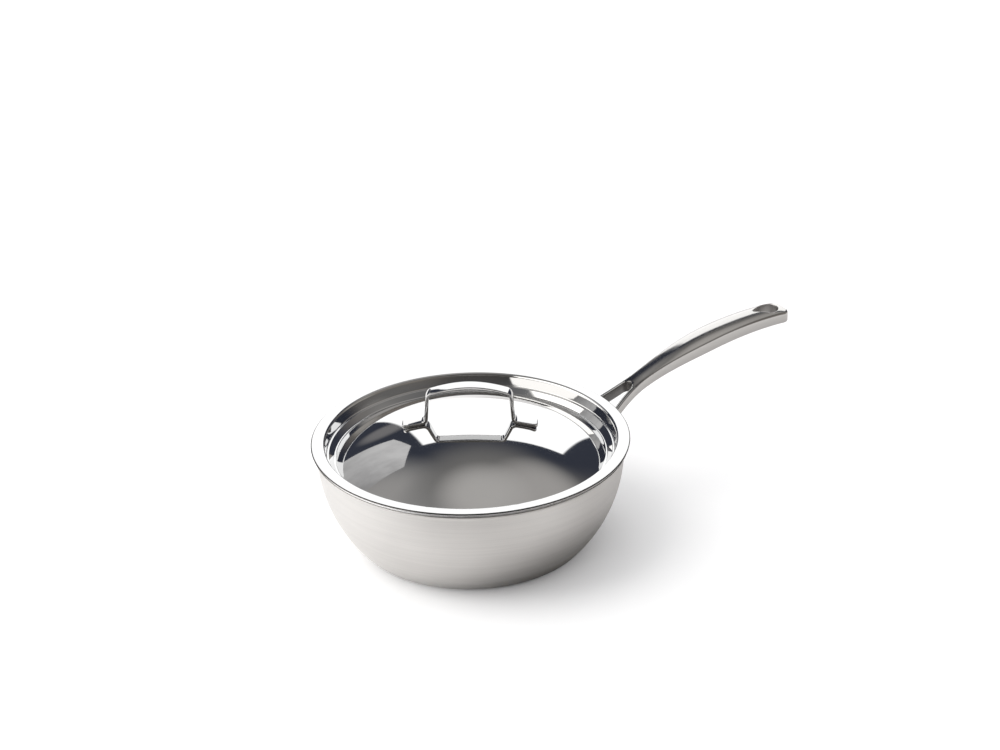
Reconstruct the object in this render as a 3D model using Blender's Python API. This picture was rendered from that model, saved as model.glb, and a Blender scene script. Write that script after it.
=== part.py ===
# Conical saute pan of clad steel with a forked cast handle and a domed drop-in lid.
# Metres, +Z up. The origin is the centre of the base on the worktop, the long handle runs along +X.

import bpy
import bmesh
import math
from mathutils import Euler, Matrix, Vector

# Bowl: the outer surface, bottom to rim
WALL_TOP_RADIUS = 0.1228
WALL_ARC_RADIUS = 0.114
CORNER_RADIUS = 0.012
FLARE_RADIUS = 0.0045
FLARE_ANGLE = math.radians(78)
PAN_HEIGHT = 0.0878

# Bowl: the three bonded sheets, outside to inside
SKIN_THICKNESS = 0.0006
CORE_THICKNESS = 0.0014
LINING_THICKNESS = 0.0006
SEAT_GAP = 0.0003

# Lid: the upper surface, measured from the top of its flange
LID_SHEET = 0.0008
FLANGE_OVERHANG = 0.00114
RECESS_CLEARANCE = 0.0029
RECESS_DEPTH = 0.0097
RECESS_TAPER = 0.0015
LEDGE_WIDTH = 0.0016
LEDGE_DROP = 0.0001
COVE_WIDTH = 0.0048
COVE_DEPTH = 0.0046
DOME_RISE = 0.0309
FLANGE_BEND_RADIUS = 0.0028
PRESS_RADIUS = 0.0012
DOME_EDGE_PRESS_RADIUS = 0.0018

# Strap on the lid
STRAP_TURN = math.radians(-30.5)
STRAP_WIDTH = 0.0115
STRAP_THICKNESS = 0.0026
BAR_THICKNESS = 0.0044
STRAP_HEADROOM = 0.0256
BAR_HALF_SPAN = 0.0330
BAR_ARCH_RADIUS = 0.108
LEG_SPLAY = 0.0016
STRAP_BEND_RADIUS = 0.0048
FOOT_LENGTH = 0.0145
FOOT_TIP_LENGTH = 0.0050
FOOT_TIP_RISE = 0.0024
STRAP_EDGE = 0.0006
STRAP_CROWN = 0.0004

# Weld nuggets between the strap's feet and the lid
NUGGET_RADIUS = 0.0030
NUGGET_SINK = 0.0008

# Long handle: its upper edges lie on one arc
HANDLE_LENGTH = 0.1792
CREST_DISTANCE = 0.1670
FORK_TOP_BELOW_RIM = 0.0062
SPINE_RADIUS = 0.3040
FORK_DEPTH = 0.0088
GRIP_DEPTH = 0.0098
FORK_HALF_SPREAD = 0.0172
FORK_SPREAD_LENGTH = 0.0345
FORK_CURVE = 1.6
PRONG_THICKNESS = 0.0039
CROTCH_DISTANCE = 0.0282
CROTCH_ROUND = 0.0060
WAIST_HALF_WIDTH = 0.0082
GRIP_HALF_WIDTH = 0.0129
GRIP_DISTANCE = 0.1022
TIP_HALF_WIDTH = 0.0120
TIP_ROUND = 0.0060
GRIP_CROWN = 0.0030
END_CROWN = 0.0009
LOWER_EDGE_ROUND = 0.0016
UPPER_EDGE_ROUND = 0.0007

# Hanging hole, a drop with its narrow end towards the bowl
HOLE_RADIUS = 0.0085
HOLE_NARROW_RADIUS = 0.0018
HOLE_LENGTH = 0.0238
HOLE_TO_TIP = 0.0149

# Weld beads round the fork's feet
WELD_LEG = 0.0022
WELD_TOE = 0.0003
WELD_LENGTH = 0.0030

# Smoothness
TURN_STEPS = 60
CORNER_STEPS = 3
WALL_STEPS = 6
FLARE_STEPS = 3
DOME_STEPS = 8
PRESS_STEPS = 2
BEND_STEPS = 4
ARCH_STEPS = 4
HANDLE_STEPS = 22
TIP_STEPS = 5
CROWN_STEPS = 3
CROTCH_STEPS = 8
HOLE_STEPS = 14
NUGGET_STEPS = 16
SHARP_ANGLE = math.radians(32)
BEND_SHARE = 0.49

# Sizes that follow from those above
WALL_THICKNESS = SKIN_THICKNESS + CORE_THICKNESS + LINING_THICKNESS + 2 * SEAT_GAP
FLARE_CENTRE_RADIUS = WALL_TOP_RADIUS + FLARE_RADIUS
FLARE_CENTRE_HEIGHT = PAN_HEIGHT - (FLARE_RADIUS + WALL_THICKNESS) * math.sin(FLARE_ANGLE)
WALL_CENTRE_RADIUS = WALL_TOP_RADIUS - WALL_ARC_RADIUS
LID_TOP = PAN_HEIGHT + SEAT_GAP + LID_SHEET
RIM_RADIUS = FLARE_CENTRE_RADIUS - FLARE_RADIUS * math.cos(FLARE_ANGLE)
FLANGE_RADIUS = RIM_RADIUS + FLANGE_OVERHANG
RECESS_RADIUS = WALL_TOP_RADIUS - WALL_THICKNESS - RECESS_CLEARANCE
DOME_EDGE_RADIUS = RECESS_RADIUS - RECESS_TAPER - LEDGE_WIDTH - COVE_WIDTH
DOME_EDGE_HEIGHT = LID_TOP - RECESS_DEPTH - LEDGE_DROP - COVE_DEPTH
DOME_SPHERE_RADIUS = (DOME_EDGE_RADIUS ** 2 + DOME_RISE ** 2) / (2 * DOME_RISE)
FOOT_X = WALL_TOP_RADIUS
WAIST_X = FOOT_X + FORK_SPREAD_LENGTH
CROTCH_X = FOOT_X + CROTCH_DISTANCE
GRIP_X = FOOT_X + GRIP_DISTANCE
CREST_X = FOOT_X + CREST_DISTANCE
SPINE_DROP = math.sqrt(SPINE_RADIUS ** 2 - CREST_DISTANCE ** 2)
SPINE_HEIGHT = PAN_HEIGHT - FORK_TOP_BELOW_RIM - SPINE_DROP
CREST_HEIGHT = SPINE_HEIGHT + SPINE_RADIUS
HANDLE_TIP_X = FOOT_X + HANDLE_LENGTH
HOLE_X = HANDLE_TIP_X - HOLE_TO_TIP


def clear_scene():
    for item in list(bpy.data.objects):
        bpy.data.objects.remove(item, do_unlink=True)


def steel(name, colour, roughness):
    material = bpy.data.materials.new(name)
    material.use_nodes = True
    shader = material.node_tree.nodes["Principled BSDF"]
    shader.inputs["Base Color"].default_value = (*colour, 1.0)
    shader.inputs["Metallic"].default_value = 1.0
    shader.inputs["Roughness"].default_value = roughness
    return material


def finish_mesh(name, bm, material):
    bmesh.ops.remove_doubles(bm, verts=bm.verts, dist=1e-7)
    bmesh.ops.recalc_face_normals(bm, faces=bm.faces)
    mesh = bpy.data.meshes.new(name)
    bm.to_mesh(mesh)
    bm.free()
    mesh.shade_smooth()
    mesh.set_sharp_from_angle(angle=SHARP_ANGLE)
    item = bpy.data.objects.new(name, mesh)
    bpy.context.scene.collection.objects.link(item)
    if material:
        mesh.materials.append(material)
    return item


def arc(centre, radius, start, end, steps):
    points = []
    for step in range(steps + 1):
        angle = start + (end - start) * step / steps
        points.append((centre[0] + radius * math.cos(angle), centre[1] + radius * math.sin(angle)))
    return points


def rounded(corners, radii, steps):
    """A path through the corners, with each inner corner turned on its own radius."""
    path = [corners[0]]
    for index in range(1, len(corners) - 1):
        here = Vector(corners[index])
        back = Vector(corners[index - 1]) - here
        ahead = Vector(corners[index + 1]) - here
        half = back.angle(ahead) / 2
        reach = radii[index - 1] / math.tan(half)
        reach = min(reach, BEND_SHARE * back.length, BEND_SHARE * ahead.length)
        radius = reach * math.tan(half)
        back.normalize()
        ahead.normalize()
        centre = here + (back + ahead).normalized() * radius / math.sin(half)
        first = here + back * reach - centre
        last = here + ahead * reach - centre
        turn = first.angle_signed(last)
        start = math.atan2(first.y, first.x)
        path.extend(arc(centre, radius, start, start - turn, steps))
    path.append(corners[-1])
    return path


def offset(path, distances):
    """The path moved to its left, so that each straight stretch moves by the full distance."""
    moved = []
    for index, point in enumerate(path):
        here = Vector(point)
        normals = []
        if index > 0:
            normals.append((here - Vector(path[index - 1])).normalized())
        if index < len(path) - 1:
            normals.append((Vector(path[index + 1]) - here).normalized())
        normals = [Vector((-along.y, along.x)) for along in normals]
        middle = sum(normals, Vector((0, 0))).normalized()
        distance = distances[index] if isinstance(distances, list) else distances
        if abs(here.x) < 1e-9:
            moved.append((0.0, here.y + distance / middle.y))
        else:
            moved.append(tuple(here + middle * distance / middle.dot(normals[0])))
    return moved


def turned(name, outline, material, steps=TURN_STEPS):
    """A body of revolution about Z from an outline that starts and ends on the axis, or closes."""
    bm = bmesh.new()
    ring = [bm.verts.new((point[0], 0, point[1])) for point in outline]
    edges = [bm.edges.new(pair) for pair in zip(ring, ring[1:])]
    bmesh.ops.spin(
        bm, geom=ring + edges, cent=(0, 0, 0), axis=(0, 0, 1),
        angle=2 * math.pi, steps=steps, use_merge=True,
    )
    return finish_mesh(name, bm, material)


def lofted(name, rings, material):
    """A skin over equal rings of points, closed at both ends."""
    bm = bmesh.new()
    rows = [[bm.verts.new(point) for point in ring] for ring in rings]
    count = len(rows[0])
    for row, after in zip(rows, rows[1:]):
        for index in range(count):
            other = (index + 1) % count
            bm.faces.new((row[index], row[other], after[other], after[index]))
    bm.faces.new(rows[0])
    bm.faces.new(rows[-1])
    return finish_mesh(name, bm, material)


def prism(name, outline, low, high):
    """An upright block over a plan outline, kept as a guide for cutting."""
    rings = [[(x, y, height) for x, y in outline] for height in (low, high)]
    return as_cutter(lofted(name, rings, None))


def as_cutter(item):
    item.hide_render = True
    item.display_type = "WIRE"
    return item


def cut(item, cutter):
    boolean = item.modifiers.new("cut by " + cutter.name, "BOOLEAN")
    boolean.operation = "DIFFERENCE"
    boolean.solver = "EXACT"
    boolean.object = cutter


# Bowl

def bowl_path():
    """Outer surface of the bowl from the axis to the rim, as radius and height."""
    reach = WALL_ARC_RADIUS - CORNER_RADIUS
    drop = FLARE_CENTRE_HEIGHT - CORNER_RADIUS
    corner_centre = (WALL_CENTRE_RADIUS + math.sqrt(reach ** 2 - drop ** 2), CORNER_RADIUS)
    wall_start = -math.asin(drop / reach)
    path = [(0.0, 0.0)]
    path += arc(corner_centre, CORNER_RADIUS, -math.pi / 2, wall_start, CORNER_STEPS)
    wall_centre = (WALL_CENTRE_RADIUS, FLARE_CENTRE_HEIGHT)
    path += arc(wall_centre, WALL_ARC_RADIUS, wall_start, 0, WALL_STEPS)[1:]
    flare_centre = (FLARE_CENTRE_RADIUS, FLARE_CENTRE_HEIGHT)
    path += arc(flare_centre, FLARE_RADIUS, math.pi, math.pi - FLARE_ANGLE, FLARE_STEPS)[1:]
    return path


def make_bowl():
    path = bowl_path()
    layers = (
        ("bowl_outer_skin", SKIN_THICKNESS, steel("brushed_outer_steel", (0.63, 0.62, 0.605), 0.34)),
        ("bowl_aluminium_core", CORE_THICKNESS, steel("core_aluminium", (0.77, 0.77, 0.78), 0.45)),
        ("bowl_inner_lining", LINING_THICKNESS, steel("satin_lining_steel", (0.64, 0.63, 0.615), 0.28)),
    )
    depth = 0.0
    for name, thickness, material in layers:
        outside = offset(path, depth)
        inside = offset(path, depth + thickness)
        turned(name, outside + inside[::-1], material)
        depth += thickness + SEAT_GAP


def bowl_envelope():
    """Everything the handle keeps clear of: the bowl's outer surface with the seat gap, filled."""
    outside = offset(bowl_path(), -SEAT_GAP)
    top = LID_TOP + GRIP_DEPTH
    edge = (outside[-1][0] + SEAT_GAP, outside[-1][1])
    outline = outside + [edge, (edge[0], top), (0.0, top)]
    return as_cutter(turned("bowl_envelope", outline, None))


# Lid

def dome_height(radius):
    """Height of the dome's upper surface at a distance from the axis."""
    centre = DOME_EDGE_HEIGHT + DOME_RISE - DOME_SPHERE_RADIUS
    return centre + math.sqrt(DOME_SPHERE_RADIUS ** 2 - radius ** 2)


def make_lid():
    wall_foot = RECESS_RADIUS - RECESS_TAPER
    ledge = wall_foot - LEDGE_WIDTH
    ledge_height = LID_TOP - RECESS_DEPTH
    dome = []
    for step in range(DOME_STEPS):
        radius = DOME_EDGE_RADIUS * math.sin(math.pi / 2 * step / DOME_STEPS)
        dome.append((radius, dome_height(radius)))
    corners = [
        dome[-1],
        (DOME_EDGE_RADIUS, DOME_EDGE_HEIGHT),
        (ledge, ledge_height - LEDGE_DROP),
        (wall_foot, ledge_height),
        (RECESS_RADIUS, LID_TOP),
        (FLANGE_RADIUS, LID_TOP),
    ]
    radii = [DOME_EDGE_PRESS_RADIUS, PRESS_RADIUS, PRESS_RADIUS, FLANGE_BEND_RADIUS]
    upper = dome[:-1] + rounded(corners, radii, PRESS_STEPS)
    lower = offset(upper, -LID_SHEET)
    turned("lid_shell", upper + lower[::-1], steel("polished_lid_steel", (0.72, 0.72, 0.72), 0.06))


# Strap on the lid

def strap_path():
    """Middle line of the strap from its right tip to the middle of the bar, with its thickness."""
    seat = SEAT_GAP + STRAP_THICKNESS / 2
    leg_foot = BAR_HALF_SPAN + LEG_SPLAY
    heel = leg_foot + FOOT_LENGTH
    tip = heel + FOOT_TIP_LENGTH
    crest = dome_height(0) + STRAP_HEADROOM + BAR_THICKNESS / 2
    bar_end = BAR_HALF_SPAN - STRAP_BEND_RADIUS

    def arch(across):
        return crest - across ** 2 / (2 * BAR_ARCH_RADIUS)

    corners = [
        (tip, dome_height(heel) + seat + FOOT_TIP_RISE - FOOT_TIP_LENGTH * heel / DOME_SPHERE_RADIUS),
        (heel, dome_height(heel) + seat),
        (leg_foot, dome_height(leg_foot) + seat),
        (BAR_HALF_SPAN, arch(BAR_HALF_SPAN)),
        (bar_end - STRAP_BEND_RADIUS, arch(bar_end - STRAP_BEND_RADIUS)),
    ]
    radii = [STRAP_BEND_RADIUS] * 3
    half = rounded(corners, radii, BEND_STEPS)
    last = half[-1][0]
    for step in range(1, ARCH_STEPS + 1):
        across = last * (1 - step / ARCH_STEPS)
        half.append((across, arch(across)))
    whole = half + [(-across, height) for across, height in half[-2::-1]]
    return whole


def strap_half_thickness(point):
    """Half the strap's thickness: full in the bar, thinner in legs and feet."""
    share = min(1.0, abs(point[0]) / BAR_HALF_SPAN)
    blend = share * share * (3 - 2 * share)
    return (BAR_THICKNESS + (STRAP_THICKNESS - BAR_THICKNESS) * blend) / 2


def strap_frame(across, side, height):
    """A point of the strap turned to its place on the lid."""
    cosine = math.cos(STRAP_TURN)
    sine = math.sin(STRAP_TURN)
    return (across * cosine - side * sine, across * sine + side * cosine, height)


def make_strap():
    path = strap_path()
    halves = [strap_half_thickness(point) for point in path]
    under = offset(path, halves)
    over = offset(path, [-half for half in halves])
    edge = STRAP_EDGE
    half_width = STRAP_WIDTH / 2
    rings = []
    for low, high in zip(under, over):
        low_point = Vector(low)
        high_point = Vector(high)
        rise = high_point - low_point
        step = rise.normalized() * edge
        crown = rise.normalized() * STRAP_CROWN
        section = [
            (low_point + step, -half_width),
            (low_point, -half_width + edge),
            (low_point, half_width - edge),
            (low_point + step, half_width),
            (high_point - step, half_width),
            (high_point, half_width - edge),
            (high_point + crown, 0.0),
            (high_point, -half_width + edge),
            (high_point - step, -half_width),
        ]
        rings.append([strap_frame(point.x, side, point.y) for point, side in section])
    strap = lofted("lid_strap", rings, steel("polished_strap_steel", (0.70, 0.70, 0.70), 0.10))
    for side, name in ((1, "strap_weld_right"), (-1, "strap_weld_left")):
        place_nugget(strap, side, name)


def place_nugget(strap, side, name):
    """A weld nugget on the dome, let into a pocket in the underside of one foot."""
    across = side * (BAR_HALF_SPAN + LEG_SPLAY + FOOT_LENGTH / 2)
    base = dome_height(abs(across))
    slope = math.asin(across / DOME_SPHERE_RADIUS)
    nugget_height = SEAT_GAP + NUGGET_SINK
    pocket_radius = NUGGET_RADIUS + SEAT_GAP
    pocket_top = nugget_height + SEAT_GAP
    pocket = nugget_body("pocket_" + name, pocket_radius, -SEAT_GAP, pocket_top, None)
    weld_steel = steel(name + "_steel", (0.55, 0.54, 0.52), 0.4)
    nugget = nugget_body(name, NUGGET_RADIUS, SEAT_GAP, nugget_height, weld_steel)
    place = Matrix.Translation(strap_frame(across, 0.0, base))
    lean = Euler((0.0, slope, STRAP_TURN)).to_matrix().to_4x4()
    for item in (pocket, nugget):
        item.data.transform(place @ lean)
    cut(strap, as_cutter(pocket))


def nugget_body(name, radius, low, high, material):
    outline = [(0.0, low), (radius, low), (radius, high), (0.0, high)]
    return turned(name, outline, material, NUGGET_STEPS)


# Long handle

def handle_edge_height(x):
    """Height of the handle's upper edges."""
    return SPINE_HEIGHT + math.sqrt(SPINE_RADIUS ** 2 - (x - CREST_X) ** 2)


def between(start, end, share):
    return start + (end - start) * share


def ease(share):
    share = min(1.0, max(0.0, share))
    return share * share * (3 - 2 * share)


def handle_half_width(x):
    """Half the handle's width over its outer sides, fork spread and rounded tip included."""
    if x < WAIST_X:
        share = (WAIST_X - x) / FORK_SPREAD_LENGTH
        return between(WAIST_HALF_WIDTH, FORK_HALF_SPREAD, share ** FORK_CURVE)
    if x < GRIP_X:
        return between(WAIST_HALF_WIDTH, GRIP_HALF_WIDTH, ease((x - WAIST_X) / (GRIP_X - WAIST_X)))
    width = between(GRIP_HALF_WIDTH, TIP_HALF_WIDTH, ease((x - GRIP_X) / (HANDLE_TIP_X - GRIP_X)))
    into = min(TIP_ROUND, max(0.0, x - (HANDLE_TIP_X - TIP_ROUND)))
    return width - TIP_ROUND + math.sqrt(TIP_ROUND ** 2 - into ** 2)


def handle_crown(x):
    """Height of the arched top above the handle's upper edges."""
    rising = ease((x - CROTCH_X) / (GRIP_X - CROTCH_X))
    falling = ease((HANDLE_TIP_X - x) / HOLE_TO_TIP)
    return between(END_CROWN, GRIP_CROWN, min(rising, falling))


def handle_floor_height(x):
    """Height of the handle's flat underside."""
    share = ease((x - CROTCH_X) / (GRIP_X - CROTCH_X))
    return handle_edge_height(x) - between(FORK_DEPTH, GRIP_DEPTH, share)


def handle_section(x):
    """One upright cross-section of the handle, as a closed ring."""
    width = handle_half_width(x)
    edge = handle_edge_height(x)
    floor = handle_floor_height(x)
    inner = width - UPPER_EDGE_ROUND
    bend = LOWER_EDGE_ROUND * (1 - math.sqrt(0.5))
    right = [
        (width - LOWER_EDGE_ROUND, floor),
        (width - bend, floor + bend),
        (width, floor + LOWER_EDGE_ROUND),
        (width, edge - UPPER_EDGE_ROUND),
        (inner, edge),
    ]
    for step in range(1, CROWN_STEPS + 1):
        share = 1 - step / (CROWN_STEPS + 1)
        right.append((inner * share, edge + handle_crown(x) * (1 - share ** 2)))
    top = [(0.0, edge + handle_crown(x))]
    left = [(-y, z) for y, z in reversed(right)]
    return [(x, y, z) for y, z in right + top + left]


def handle_stations():
    """Places along X where the handle is drawn, closer together in the rounded tip."""
    start = FOOT_X - WELD_LENGTH
    straight = HANDLE_TIP_X - TIP_ROUND
    places = [start + (straight - start) * step / HANDLE_STEPS for step in range(HANDLE_STEPS)]
    for step in range(TIP_STEPS + 1):
        places.append(straight + TIP_ROUND * math.sin(math.pi / 2 * step / TIP_STEPS))
    return places


def fork_slot_outline():
    """Plan of the open slot between the prongs, with its rounded crotch."""
    start = FOOT_X - 2 * WELD_LENGTH
    turn = CROTCH_X - CROTCH_ROUND
    side = []
    for step in range(CROTCH_STEPS):
        x = start + (turn - start) * step / CROTCH_STEPS
        side.append((x, handle_half_width(x) - PRONG_THICKNESS))
    half_gap = handle_half_width(turn) - PRONG_THICKNESS
    for step in range(CROTCH_STEPS):
        angle = math.pi / 2 * step / CROTCH_STEPS
        side.append((turn + CROTCH_ROUND * math.sin(angle), half_gap * math.cos(angle)))
    return side + [(CROTCH_X, 0.0)] + [(x, -y) for x, y in reversed(side)]


def hole_outline():
    """Plan of the hanging hole: a wide round end, a narrow round end and two straight sides."""
    reach = HOLE_LENGTH - HOLE_RADIUS - HOLE_NARROW_RADIUS
    lean = math.acos((HOLE_RADIUS - HOLE_NARROW_RADIUS) / reach)
    wide = arc((HOLE_X, 0.0), HOLE_RADIUS, lean - math.pi, math.pi - lean, HOLE_STEPS)
    narrow_centre = (HOLE_X - reach, 0.0)
    narrow = arc(narrow_centre, HOLE_NARROW_RADIUS, math.pi - lean, math.pi + lean, BEND_STEPS)
    return wide + narrow


def make_handle(envelope):
    rings = [handle_section(x) for x in handle_stations()]
    handle = lofted("long_handle", rings, steel("cast_handle_steel", (0.64, 0.63, 0.615), 0.16))
    above = CREST_HEIGHT + GRIP_DEPTH
    below = FLARE_CENTRE_HEIGHT - 2 * GRIP_DEPTH
    cut(handle, prism("fork_slot", fork_slot_outline(), below, above))
    cut(handle, prism("hanging_hole", hole_outline(), below, above))
    cut(handle, envelope)


def weld_ring(x, side, leg):
    """Outline round one prong at a place along X, at a distance from its surfaces."""
    outer = handle_half_width(x) + leg
    inner = handle_half_width(x) - PRONG_THICKNESS - leg
    top = handle_edge_height(x) + leg
    bottom = handle_floor_height(x) - leg
    corners = [(inner, bottom), (outer, bottom), (outer, top), (inner, top)]
    return [(x, side * y, z) for y, z in corners]


def make_weld(name, side, envelope, material):
    """A fillet of weld metal round the foot of one prong, tapering away from the bowl."""
    start = FOOT_X - WELD_LENGTH
    end = FOOT_X + WELD_LENGTH
    rings = [
        weld_ring(start, side, SEAT_GAP + WELD_LEG),
        weld_ring(FOOT_X, side, SEAT_GAP + WELD_LEG),
        weld_ring(end, side, SEAT_GAP + WELD_TOE),
    ]
    bead = lofted(name, rings, material)
    reach = 2 * WELD_LENGTH
    hollow = [weld_ring(x, side, SEAT_GAP) for x in (start - reach, start, FOOT_X, end, end + reach)]
    cut(bead, as_cutter(lofted("hollow_" + name, hollow, None)))
    cut(bead, envelope)


def main():
    clear_scene()
    make_bowl()
    make_lid()
    make_strap()
    envelope = bowl_envelope()
    make_handle(envelope)
    bead_steel = steel("weld_bead_steel", (0.52, 0.51, 0.50), 0.38)
    make_weld("fork_weld_left", 1, envelope, bead_steel)
    make_weld("fork_weld_right", -1, envelope, bead_steel.copy())


main()
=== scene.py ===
import math

import bmesh
import bpy
from mathutils import Euler, Matrix, Vector
from mathutils.geometry import delaunay_2d_cdt


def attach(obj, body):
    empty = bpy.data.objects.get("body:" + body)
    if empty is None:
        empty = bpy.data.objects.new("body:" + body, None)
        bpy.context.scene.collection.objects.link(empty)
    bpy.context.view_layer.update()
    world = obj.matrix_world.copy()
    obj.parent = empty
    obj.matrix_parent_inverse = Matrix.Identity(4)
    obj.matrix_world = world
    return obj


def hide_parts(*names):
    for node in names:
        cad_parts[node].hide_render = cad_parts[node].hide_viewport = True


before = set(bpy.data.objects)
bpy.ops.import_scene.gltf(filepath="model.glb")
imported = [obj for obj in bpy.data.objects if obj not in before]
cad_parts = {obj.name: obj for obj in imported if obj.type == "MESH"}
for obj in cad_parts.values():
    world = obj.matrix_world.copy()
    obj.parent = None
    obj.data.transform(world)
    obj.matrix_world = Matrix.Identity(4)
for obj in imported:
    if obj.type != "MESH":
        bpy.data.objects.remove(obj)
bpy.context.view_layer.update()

# Sizes of the solids, in metres, repeated from the part's own source.

WALL_TOP_RADIUS = 0.1228
WALL_ARC_RADIUS = 0.114
CORNER_RADIUS = 0.012
FLARE_RADIUS = 0.0045
FLARE_ANGLE = math.radians(78)
PAN_HEIGHT = 0.0878
SKIN_THICKNESS = 0.0006
CORE_THICKNESS = 0.0014
LINING_THICKNESS = 0.0006
SEAT_GAP = 0.0003

LID_SHEET = 0.0008
FLANGE_OVERHANG = 0.00114
RECESS_CLEARANCE = 0.0029
RECESS_DEPTH = 0.0097
RECESS_TAPER = 0.0015
LEDGE_WIDTH = 0.0016
LEDGE_DROP = 0.0001
COVE_WIDTH = 0.0048
COVE_DEPTH = 0.0046
DOME_RISE = 0.0309
FLANGE_BEND_RADIUS = 0.0028
PRESS_RADIUS = 0.0012
DOME_EDGE_PRESS_RADIUS = 0.0018

STRAP_TURN = math.radians(-30.5)
STRAP_WIDTH = 0.0115
STRAP_THICKNESS = 0.0026
BAR_THICKNESS = 0.0044
STRAP_HEADROOM = 0.0256
BAR_HALF_SPAN = 0.0330
BAR_ARCH_RADIUS = 0.108
LEG_SPLAY = 0.0016
STRAP_BEND_RADIUS = 0.0048
FOOT_LENGTH = 0.0145
FOOT_TIP_LENGTH = 0.0050
STRAP_EDGE = 0.0006
STRAP_CROWN = 0.0004
NUGGET_RADIUS = 0.0030
NUGGET_SINK = 0.0008

HANDLE_LENGTH = 0.1792
CREST_DISTANCE = 0.1670
FORK_TOP_BELOW_RIM = 0.0062
SPINE_RADIUS = 0.3040
FORK_DEPTH = 0.0088
GRIP_DEPTH = 0.0098
FORK_HALF_SPREAD = 0.0172
FORK_SPREAD_LENGTH = 0.0345
FORK_CURVE = 1.6
PRONG_THICKNESS = 0.0039
CROTCH_DISTANCE = 0.0282
CROTCH_ROUND = 0.0060
WAIST_HALF_WIDTH = 0.0082
GRIP_HALF_WIDTH = 0.0129
GRIP_DISTANCE = 0.1022
TIP_HALF_WIDTH = 0.0120
TIP_ROUND = 0.0060
GRIP_CROWN = 0.0030
END_CROWN = 0.0009
LOWER_EDGE_ROUND = 0.0016
UPPER_EDGE_ROUND = 0.0007
HOLE_RADIUS = 0.0085
HOLE_NARROW_RADIUS = 0.0018
HOLE_LENGTH = 0.0238
HOLE_TO_TIP = 0.0149
WELD_LEG = 0.0022
WELD_TOE = 0.0003
WELD_LENGTH = 0.0030

WALL_THICKNESS = SKIN_THICKNESS + CORE_THICKNESS + LINING_THICKNESS + 2 * SEAT_GAP
FLARE_CENTRE_RADIUS = WALL_TOP_RADIUS + FLARE_RADIUS
FLARE_CENTRE_HEIGHT = PAN_HEIGHT - (FLARE_RADIUS + WALL_THICKNESS) * math.sin(FLARE_ANGLE)
WALL_CENTRE_RADIUS = WALL_TOP_RADIUS - WALL_ARC_RADIUS
LID_TOP = PAN_HEIGHT + SEAT_GAP + LID_SHEET
FLANGE_RADIUS = FLARE_CENTRE_RADIUS - FLARE_RADIUS * math.cos(FLARE_ANGLE) + FLANGE_OVERHANG
RECESS_RADIUS = WALL_TOP_RADIUS - WALL_THICKNESS - RECESS_CLEARANCE
DOME_EDGE_RADIUS = RECESS_RADIUS - RECESS_TAPER - LEDGE_WIDTH - COVE_WIDTH
DOME_EDGE_HEIGHT = LID_TOP - RECESS_DEPTH - LEDGE_DROP - COVE_DEPTH
DOME_SPHERE_RADIUS = (DOME_EDGE_RADIUS ** 2 + DOME_RISE ** 2) / (2 * DOME_RISE)
FOOT_X = WALL_TOP_RADIUS
WAIST_X = FOOT_X + FORK_SPREAD_LENGTH
CROTCH_X = FOOT_X + CROTCH_DISTANCE
GRIP_X = FOOT_X + GRIP_DISTANCE
CREST_X = FOOT_X + CREST_DISTANCE
SPINE_HEIGHT = PAN_HEIGHT - FORK_TOP_BELOW_RIM - math.sqrt(SPINE_RADIUS ** 2 - CREST_DISTANCE ** 2)
HANDLE_TIP_X = FOOT_X + HANDLE_LENGTH
HOLE_X = HANDLE_TIP_X - HOLE_TO_TIP

# How finely the shown surfaces are divided, and the small forms, in metres, that only they have

TURN_STEPS = 288
SHARP_ANGLE = math.radians(40)
BEND_SHARE = 0.49
SHEET_EDGE = 0.00018
RIM_TOP_EDGE = 0.00046
FLANGE_EDGE_BOTTOM = 0.00010
RIM_BEVEL = math.radians(22)
DOME_EDGE_MARGIN = 0.0026
SPOT_ROUND = 0.0005
END_EDGE_ROUND = 0.0026
FLANGE_ROLL = 0.0013
FLANGE_FALL = 0.00070
TIP_SOFTNESS = 0.0011
TIP_PLAN_ROUND = 0.0023
TIP_CLOSING = 0.98
TIP_RISE_SHOWN = 0.0009
BASE_RINGS = (0.0, 0.03, 0.06)
HANDLE_TOP_SPACING = 0.0016
HANDLE_UNDER_SPACING = 0.004
HANDLE_EDGE_SHARE = 0.45
EDGE_STEPS = 6

# Painted shade on the casting: places, in metres, and the share of its brightness that it keeps
# there

SIDE_PAINTED_SHADE = ((0.0, 0.0012, 0.0100), (1.0, 0.98, 0.70))
CREASE_PAINTED_SHADE = ((-0.0004, 0.0001, 0.0006), (1.0, 0.62, 1.0))
FORK_TOP_PAINTED_SHADE = ((CROTCH_X - 0.002, CROTCH_X + 0.010), (0.55, 1.0))
FORK_TOP_DEPTH = ((0.0002, 0.0012), (0.0, 1.0))


# Shapes

def add_object(name, data, body=None, node=None):
    """Puts an object in the scene; a piece of the part rides on a body and stands for a node."""
    piece = bpy.data.objects.new(name, data)
    bpy.context.scene.collection.objects.link(piece)
    if body:
        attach(piece, body)
        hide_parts(node)
    return piece


def finish_mesh(name, bm, material, body, node):
    """Turns a bmesh into a smooth piece."""
    bmesh.ops.remove_doubles(bm, verts=bm.verts, dist=1e-7)
    bmesh.ops.recalc_face_normals(bm, faces=bm.faces)
    mesh = bpy.data.meshes.new(name)
    bm.to_mesh(mesh)
    bm.free()
    mesh.shade_smooth()
    mesh.set_sharp_from_angle(angle=SHARP_ANGLE)
    mesh.materials.append(material)
    return add_object(name, mesh, body, node)


def between(start, end, share):
    return start + (end - start) * share


def ease(share):
    share = min(1.0, max(0.0, share))
    return share * share * (3 - 2 * share)


def arc(centre, radius, start, end, steps):
    points = []
    for step in range(steps + 1):
        angle = start + (end - start) * step / steps
        points.append((centre[0] + radius * math.cos(angle), centre[1] + radius * math.sin(angle)))
    return points


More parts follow.
